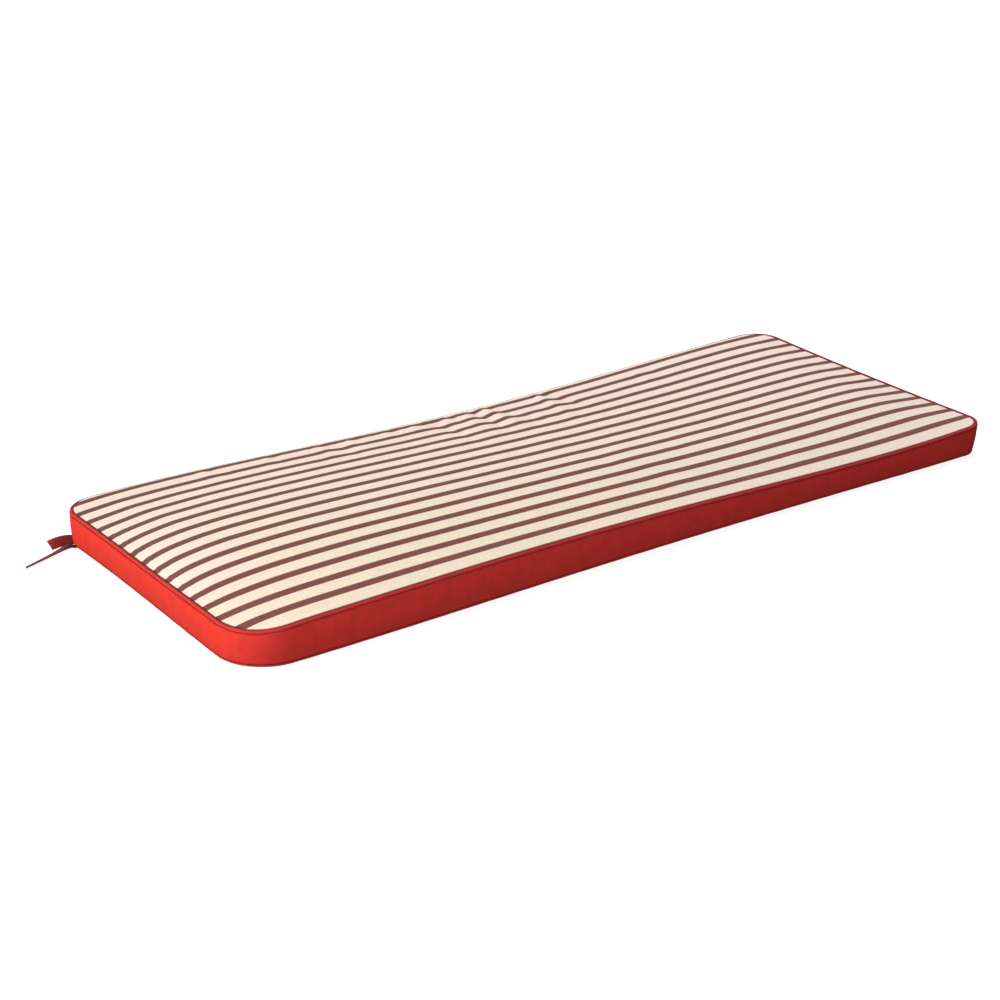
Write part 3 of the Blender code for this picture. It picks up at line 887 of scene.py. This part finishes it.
class Graph:
    """Builds the nodes of one material."""

    def __init__(self, name, roughness, sheen):
        self.material = bpy.data.materials.new(name)
        self.material.use_nodes = True
        self.tree = self.material.node_tree
        self.shader = self.tree.nodes["Principled BSDF"]
        self.shader.inputs["Roughness"].default_value = roughness
        self.shader.inputs["Specular IOR Level"].default_value = SPECULAR
        self.shader.inputs["Sheen Weight"].default_value = sheen
        self.shader.inputs["Sheen Roughness"].default_value = SHEEN_ROUGHNESS

    def feed(self, socket, value):
        if isinstance(value, bpy.types.NodeSocket):
            self.tree.links.new(value, socket)
        else:
            socket.default_value = value

    def math(self, operation, *values):
        node = self.tree.nodes.new("ShaderNodeMath")
        node.operation = operation
        for socket, value in zip(node.inputs, values):
            self.feed(socket, value)
        return node.outputs[0]

    def cloth_place(self):
        """The cloth's own coordinates in metres: the vector, then along and across."""
        node = self.tree.nodes.new("ShaderNodeUVMap")
        node.uv_map = "cloth"
        parts = self.tree.nodes.new("ShaderNodeSeparateXYZ")
        self.feed(parts.inputs[0], node.outputs[0])
        return node.outputs[0], parts.outputs[0], parts.outputs[1]

    def stretched(self, vector, scale):
        node = self.tree.nodes.new("ShaderNodeVectorMath")
        node.operation = "MULTIPLY"
        self.feed(node.inputs[0], vector)
        node.inputs[1].default_value = scale
        return node.outputs[0]

    def cloudy(self, vector, scale, detail=2.0):
        node = self.tree.nodes.new("ShaderNodeTexNoise")
        self.feed(node.inputs["Vector"], vector)
        node.inputs["Scale"].default_value = scale
        node.inputs["Detail"].default_value = detail
        return node.outputs["Fac"]

    def spread(self, value, low, high, to_low=0.0, to_high=1.0, smooth=False):
        node = self.tree.nodes.new("ShaderNodeMapRange")
        if smooth:
            node.interpolation_type = "SMOOTHSTEP"
        ends = {"From Min": low, "From Max": high, "To Min": to_low, "To Max": to_high}
        for name, number in ends.items():
            node.inputs[name].default_value = number
        self.feed(node.inputs["Value"], value)
        return node.outputs["Result"]

    def blend(self, share, first, second, kind="MIX"):
        node = self.tree.nodes.new("ShaderNodeMix")
        node.data_type = "RGBA"
        node.blend_type = kind
        self.feed(node.inputs["Factor"], share)
        for name, value in (("A", first), ("B", second)):
            socket = next(s for s in node.inputs if s.name == name and s.type == "RGBA")
            self.feed(socket, value)
        return next(s for s in node.outputs if s.type == "RGBA")

    def grey(self, value):
        """One number as a neutral colour."""
        node = self.tree.nodes.new("ShaderNodeCombineColor")
        for socket in node.inputs:
            self.feed(socket, value)
        return node.outputs[0]

    def stored(self, name):
        node = self.tree.nodes.new("ShaderNodeAttribute")
        node.attribute_name = name
        return node.outputs["Fac"]

    def shade(self, *layers):
        """One factor from several. Each layer: a value, its low and high, and the factor at each."""
        light = 1.0
        for value, low, high, at_low, at_high in layers:
            light = self.math("MULTIPLY", light, self.spread(value, low, high, at_low, at_high))
        return light

    def wave(self, place, pitch):
        """A wave of that pitch, from -1 to 1."""
        return self.math("SINE", self.math("MULTIPLY", place, 2 * math.pi / pitch))

    def weave(self, along, across, pitch):
        """Height of a plain weave: threads that pass over and under one another."""
        waves = self.math("MULTIPLY", self.wave(along, pitch), self.wave(across, pitch))
        return self.math("MULTIPLY_ADD", waves, 0.5, 0.5)

    def relief(self, *layers):
        """Bumps of given heights in metres, one over the other."""
        normal = None
        for height, distance in layers:
            bump = self.tree.nodes.new("ShaderNodeBump")
            bump.inputs["Distance"].default_value = distance
            self.feed(bump.inputs["Height"], height)
            if normal:
                self.feed(bump.inputs["Normal"], normal)
            normal = bump.outputs[0]
        self.feed(self.shader.inputs["Normal"], normal)


def rgba(color):
    return (*color, 1.0)


def red_canvas(name, color, seam_dark):
    """Plain-woven red cloth with slubs, creases, soft fading and painted shade in seams and at its foot
    """
    graph = Graph(name, 0.9, 0.02)
    vector, along, across = graph.cloth_place()
    weave = graph.weave(along, across, WEAVE_PITCH)
    slubs = graph.cloudy(graph.stretched(vector, (400, 2600, 1)), 1.0)
    fading = graph.cloudy(vector, 60.0, 4.0)
    mottle = graph.cloudy(vector, MOTTLE_SCALE)
    creases = graph.cloudy(graph.stretched(vector, (85, 9, 1)), 1.0)
    light = graph.shade(
        (fading, 0.3, 0.7, 0.92, 1.07),
        (mottle, 0.3, 0.7, 0.95, 1.05),
        # Painted shade along the creases, beside their bump
        (creases, 0.3, 0.7, 0.98, 1.02),
        (slubs, 0.25, 0.75, 0.93, 1.06),
        (weave, 0, 1, 0.9, 1.06),
        # Painted shade: lighter under the top seam, darker toward the foot
        (graph.stored("low"), 0, 1, 1.08, 0.84),
    )
    # Painted light: the sides away from the front take a deeper red
    tint = graph.blend(graph.stored("front"), rgba(SIDE_LIGHT_TINT), rgba(WHITE))
    cloth = graph.blend(1.0, rgba(color), tint, "MULTIPLY")
    cloth = graph.blend(1.0, cloth, graph.grey(light), "MULTIPLY")
    # Painted shade in the seams, from the stored weights
    cloth = graph.blend(graph.spread(graph.stored("seam"), 0, 1, 0, seam_dark), cloth, rgba(SEAM_SHADOW_COLOR))
    graph.feed(graph.shader.inputs["Base Color"], cloth)
    graph.relief((weave, 0.00012), (slubs, 0.0001), (fading, 0.0006), (creases, 0.0005))
    return graph.material


def striped_canvas():
    """Cream cloth with lengthwise woven stripes, and painted shade along its edge in the seam."""
    graph = Graph("striped_cloth_look", 0.92, 0.08)
    vector, along, across = graph.cloth_place()
    weave = graph.weave(along, across, WEAVE_PITCH)
    wander = graph.cloudy(graph.stretched(vector, (260, 900, 1)), 1.0)
    moved = graph.math("MULTIPLY_ADD", wander, STRIPE_WANDER, across)
    turn = graph.math("MULTIPLY_ADD", moved, 1 / (WIDTH * STRIPE_PITCH), -FIRST_STRIPE / STRIPE_PITCH)
    turn = graph.math("MAXIMUM", turn, BEFORE_FIRST)
    off = graph.math("PINGPONG", turn, 0.5)
    half = STRIPE_WIDTH / 2 / (WIDTH * STRIPE_PITCH)
    stripe = graph.spread(off, half + STRIPE_SOFT, half - STRIPE_SOFT, smooth=True)
    slubs = graph.cloudy(graph.stretched(vector, (300, 2400, 1)), 1.0)
    soil = graph.cloudy(vector, 24.0, 5.0)
    mottle = graph.cloudy(vector, MOTTLE_SCALE)
    toward_back = graph.spread(across, 0, WIDTH)
    toward_right = graph.spread(along, -LENGTH / 2, LENGTH / 2)
    pinker = graph.math("MULTIPLY_ADD", toward_back, PINK_BACK, graph.spread(soil, 0.3, 0.7, 0.0, 0.3))
    cream = graph.blend(pinker, rgba(CREAM_WARM), rgba(CREAM_PINK))
    cream = graph.blend(graph.math("MULTIPLY", toward_right, COOL_RIGHT), cream, rgba(CREAM_COOL))
    maroon = graph.blend(toward_back, rgba(MAROON_FRONT), rgba(MAROON_BACK))
    maroon = graph.blend(graph.math("MULTIPLY", toward_right, WORN_RIGHT), maroon, rgba(MAROON_WORN))
    speckled = graph.math("MULTIPLY", weave, graph.spread(slubs, 0.3, 0.8))
    maroon = graph.blend(graph.spread(speckled, 0.2, 1.0, 0.0, SPECKLE), maroon, rgba(CREAM_PINK))
    cloth = graph.blend(stripe, cream, maroon)
    light = graph.shade(
        (slubs, 0.25, 0.75, 0.93, 1.05),
        (weave, 0, 1, 0.95, 1.03),
        (mottle, 0.3, 0.7, 0.92, 1.06),
    )
    cloth = graph.blend(1.0, cloth, graph.grey(light), "MULTIPLY")
    # Painted shade along the panel's edge, reaching further in on a stripe than on cream
    seam = graph.stored("seam")
    edge = graph.math("POWER", seam, graph.spread(stripe, 0, 1, EDGE_ON_CREAM, EDGE_ON_STRIPE))
    cloth = graph.blend(graph.spread(edge, 0, 1, 0, EDGE_DARK), cloth, rgba(SEAM_SHADOW_COLOR))
    graph.feed(graph.shader.inputs["Base Color"], cloth)
    graph.relief((weave, 0.00012), (slubs, 0.0001))
    return graph.material


def ribbon_tape():
    """Dark red ribbon, ribbed across, with darker streaks along it and painted shade toward its root.
    """
    graph = Graph("ribbon_look", 0.75, 0.1)
    vector, along, _ = graph.cloth_place()
    ribs = graph.math("MULTIPLY_ADD", graph.wave(along, RIB_PITCH), 0.5, 0.5)
    streaks = graph.cloudy(graph.stretched(vector, (35, 900, 1)), 1.0, 3.0)
    light = graph.shade((streaks, 0.3, 0.7, 0.55, 1.15), (ribs, 0, 1, 0.88, 1.05))
    cloth = graph.blend(1.0, rgba(RIBBON_RED), graph.grey(light), "MULTIPLY")
    # Painted shade, from the ribbon's stored weights
    shade = graph.spread(graph.stored("seam"), 0, 1, 0, RIBBON_SHADE)
    cloth = graph.blend(shade, cloth, rgba(RIBBON_SHADOW_COLOR))
    graph.feed(graph.shader.inputs["Base Color"], cloth)
    graph.relief((ribs, 0.0001), (streaks, 0.0003))
    return graph.material


def thread_look():
    graph = Graph("thread_look", 0.8, 0.05)
    place = graph.tree.nodes.new("ShaderNodeNewGeometry").outputs["Position"]
    twist = graph.cloudy(place, 1500.0)
    cloth = graph.blend(twist, rgba(THREAD_DARK), rgba(THREAD_LIGHT))
    graph.feed(graph.shader.inputs["Base Color"], cloth)
    graph.relief((twist, 0.0001))
    return graph.material


def floor_and_lights():
    bm = bmesh.new()
    for x, y in ((-1, -1), (1, -1), (1, 1), (-1, 1)):
        bm.verts.new((x * FLOOR_SIZE, y * FLOOR_SIZE, 0))
    bm.faces.new(bm.verts[:])
    graph = Graph("floor_look", 0.9, 0)
    place = graph.tree.nodes.new("ShaderNodeNewGeometry").outputs["Position"]
    cloud = graph.cloudy(place, 3.0)
    grey = graph.blend(cloud, rgba(FLOOR_LIGHT), rgba(FLOOR_SHADE))
    graph.feed(graph.shader.inputs["Base Color"], grey)
    graph.shader.inputs["Emission Color"].default_value = rgba(WHITE)
    graph.shader.inputs["Emission Strength"].default_value = FLOOR_GLOW
    floor = finished(bm, "studio_floor", graph.material)
    floor.location.z = -FLOOR_DROP
    bm = bmesh.new()
    bmesh.ops.create_uvsphere(bm, u_segments=DOME_TURNS, v_segments=2 * DOME_RISES, radius=FLOOR_SIZE)
    dome = finished(bm, "studio_dome", graph.material)
    for backdrop in (floor, dome):
        backdrop.visible_diffuse = False
        backdrop.visible_glossy = False
        backdrop.visible_shadow = False

    world = bpy.data.worlds.new("studio")
    bpy.context.scene.world = world
    world.use_nodes = True
    sky = world.node_tree.nodes["Background"]
    sky.inputs["Color"].default_value = rgba(SKY_COLOR)
    sky.inputs["Strength"].default_value = SKY_STRENGTH

    for lamp in LAMPS:
        light = bpy.data.lights.new(lamp.name, "AREA")
        light.shape = "DISK"
        light.size = lamp.size
        light.energy = lamp.power
        light.color = lamp.color
        obj = bpy.data.objects.new(lamp.name, light)
        obj.location = lamp.place
        aim = Vector(lamp.aim) - Vector(lamp.place)
        obj.rotation_euler = aim.to_track_quat("-Z", "Y").to_euler()
        bpy.context.scene.collection.objects.link(obj)


def photo_camera():
    data = bpy.data.cameras.new("photo_camera")
    data.lens = CAMERA_LENS
    camera = bpy.data.objects.new("photo_camera", data)
    camera.location = CAMERA_PLACE
    camera.rotation_euler = (math.radians(90 - CAMERA_PITCH), 0, math.radians(-CAMERA_YAW))
    bpy.context.scene.collection.objects.link(camera)
    bpy.context.scene.camera = camera


def dress():
    """Builds the cushion's pieces, puts them on the root body and hides the imported parts they
    replace.
    """
    band_red = red_canvas("red_cloth_look", RED, BAND_SHADE)
    cord_red = red_canvas("piping_look", CORD_RED, CORD_SHADE)
    tie_red = ribbon_tape()
    top_move, band_move = swollen()
    top_move = finer(finer(top_move, 0), 1)
    band_move = finer(finer(band_move, 0), 1, closed=True)
    pad = filled_pad(band_red, top_move, band_move)
    top = striped_top(striped_canvas(), top_move)
    underside = plain_underside(band_red)
    cord_top = piping("top_cord", TOP_CORD_OUT, SEAM_Z - CORD_DROP, 1, TOP_DARK_SIDE, cord_red)
    cord_bottom = piping("bottom_cord", 0, BOTTOM_CORD_HEIGHT, 0, BOTTOM_DARK_SIDE, cord_red)
    short_end = ribbon("short_ribbon", TIE_SHORT, SHORT_TIP_SHADE, tie_red)
    long_end = ribbon("long_ribbon", TIE_LONG, LONG_TIP_SHADE, tie_red)
    stitches = stitching(thread_look())
    for piece, node, slot in (
        (pad, "cushion_pad", "red_cloth"),
        (top, "top_panel", "striped_cloth"),
        (underside, "bottom_panel", "red_cloth"),
        (cord_top, "piping_top", "piping_cloth"),
        (cord_bottom, "piping_bottom", "piping_cloth"),
        (short_end, "tie_short", "ribbon_cloth"),
        (long_end, "tie_long", "ribbon_cloth"),
    ):
        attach(piece, "root")
        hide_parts(node)
    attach(stitches, "root")


def main():
    photo_camera()
    bpy.context.scene.view_settings.view_transform = "Standard"
    floor_and_lights()
    dress()


main()
